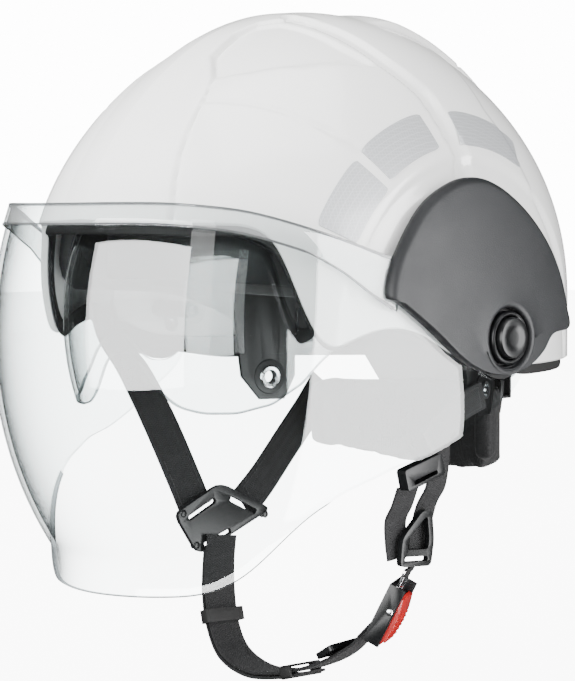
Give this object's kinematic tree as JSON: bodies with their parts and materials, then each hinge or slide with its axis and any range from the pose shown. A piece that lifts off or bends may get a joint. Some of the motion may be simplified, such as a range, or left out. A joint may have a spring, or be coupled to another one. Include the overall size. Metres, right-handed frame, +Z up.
{
  "type": "rescue helmet",
  "caption": "White jet-style fire and rescue helmet with a clear face shield, an inner eye shield, black side covers, a padded cradle and a chin harness with a red quick-release lever.",
  "frame": {"origin": "middle of the wearer's head at ear level, where the head holds the helmet", "axes": "+Z up, the wearer faces -Y, the wearer's left is +X"},
  "size_m": [0.2704, 0.3284, 0.3421],
  "materials": {
    "white_gloss_shell": "glossy white moulded shell",
    "black_foam_liner": "matt black expanded foam",
    "black_rubber_trim": "soft matt black rubber",
    "silver_reflective_tape": "pale silver grey reflective film",
    "clear_polycarbonate": "clear polished polycarbonate",
    "black_grained_plastic": "fine-grained matt black moulding",
    "black_moulded_plastic": "satin black moulding",
    "bright_steel": "plain bright steel",
    "black_leather_pad": "black padded lining fabric",
    "black_webbing": "flat woven black webbing",
    "red_lever_plastic": "red moulded lever"
  },
  "bodies": {
    "helmet": {"outer_shell": "white_gloss_shell", "impact_liner": "black_foam_liner", "shell_edge_trim": "black_rubber_trim", "strap_keeper_upper": "black_rubber_trim", "strap_keeper_lower": "black_rubber_trim", "tape_front_left": "silver_reflective_tape", "tape_front_right": "silver_reflective_tape", "tape_upper_left": "silver_reflective_tape", "tape_upper_right": "silver_reflective_tape", "tape_rear_left": "silver_reflective_tape", "tape_rear_right": "silver_reflective_tape", "side_cover_left": "black_grained_plastic", "side_cover_right": "black_grained_plastic", "pivot_boss_left": "black_moulded_plastic", "pivot_boss_right": "black_moulded_plastic", "button_bezel_left": "black_moulded_plastic", "button_bezel_right": "black_moulded_plastic", "eye_shield_post_left": "black_moulded_plastic", "eye_shield_post_right": "black_moulded_plastic", "headband": "black_moulded_plastic", "harness_plate_left": "black_moulded_plastic", "harness_plate_right": "black_moulded_plastic", "nape_yoke": "black_moulded_plastic", "ratchet_housing": "black_moulded_plastic", "y_buckle_right": "black_moulded_plastic", "ladder_slider": "black_moulded_plastic", "buckle_body": "black_moulded_plastic", "y_divider_left": "black_moulded_plastic", "strap_clip_left": "black_moulded_plastic", "pivot_screw_left": "bright_steel", "pivot_screw_right": "bright_steel", "button_spring_left": "bright_steel", "button_spring_right": "bright_steel", "lever_pin": "bright_steel", "buckle_tongue": "bright_steel", "brow_pad": "black_leather_pad", "crown_pad": "black_leather_pad", "nape_pad": "black_leather_pad", "cradle_strap_side": "black_webbing", "cradle_strap_front": "black_webbing", "front_strap_right": "black_webbing", "rear_strap_right": "black_webbing", "chin_strap": "black_webbing", "front_strap_left": "black_webbing", "rear_strap_left": "black_webbing", "hanger_strap_left": "black_webbing"},
    "face_shield": {"face_shield": "clear_polycarbonate", "shield_hub_left": "black_moulded_plastic", "shield_hub_right": "black_moulded_plastic"},
    "eye_shield": {"eye_shield": "clear_polycarbonate", "eye_shield_arm_left": "clear_polycarbonate", "eye_shield_arm_right": "clear_polycarbonate"},
    "button_left": {"shield_button_left": "black_moulded_plastic"},
    "button_right": {"shield_button_right": "black_moulded_plastic"},
    "adjuster_knob": {"ratchet_knob": "black_rubber_trim", "ratchet_pinion": "black_moulded_plastic"},
    "rack_left": {"ratchet_rack_left": "black_moulded_plastic"},
    "rack_right": {"ratchet_rack_right": "black_moulded_plastic"},
    "release_lever": {"release_lever": "red_lever_plastic"}
  },
  "joints": [
    {"name": "face_shield_hinge", "type": "hinge", "parent": "helmet", "child": "face_shield", "pos_m": [0, 0.012, 0], "axis": [-1, 0, 0], "range_deg": [0, 90]},
    {"name": "eye_shield_hinge", "type": "hinge", "parent": "helmet", "child": "eye_shield", "pos_m": [0, 0.005, 0.008], "axis": [-1, 0, 0], "range_deg": [0, 42]},
    {"name": "button_left_slide", "type": "slide", "parent": "helmet", "child": "button_left", "axis": [-1, 0, 0], "range_m": [0, 0.0025], "stiffness_N_per_m": 600},
    {"name": "button_right_slide", "type": "slide", "parent": "helmet", "child": "button_right", "axis": [1, 0, 0], "range_m": [0, 0.0025], "stiffness_N_per_m": 600},
    {"name": "adjuster_knob_hinge", "type": "hinge", "parent": "helmet", "child": "adjuster_knob", "pos_m": [0, 0.1328, -0.027], "axis": [0, 1, 0], "range_deg": [-90, 90]},
    {"name": "rack_left_slide", "type": "slide", "parent": "helmet", "child": "rack_left", "axis": [1, 0, 0], "range_m": [-0.0072, 0.0072]},
    {"name": "rack_right_slide", "type": "slide", "parent": "helmet", "child": "rack_right", "axis": [-1, 0, 0], "range_m": [-0.0073, 0.0073]},
    {"name": "release_lever_hinge", "type": "hinge", "parent": "helmet", "child": "release_lever", "pos_m": [0.06349, 0.00425, -0.13656], "axis": [0.4777, -0.8772, -0.048], "range_deg": [0, 15], "stiffness_Nm_per_rad": 0.05}
  ],
  "couplings": [
    {"joint": "adjuster_knob_hinge", "follows": "rack_left_slide", "rad_per_m": 217.39},
    {"joint": "rack_right_slide", "follows": "rack_left_slide", "ratio": 1}
  ]
}
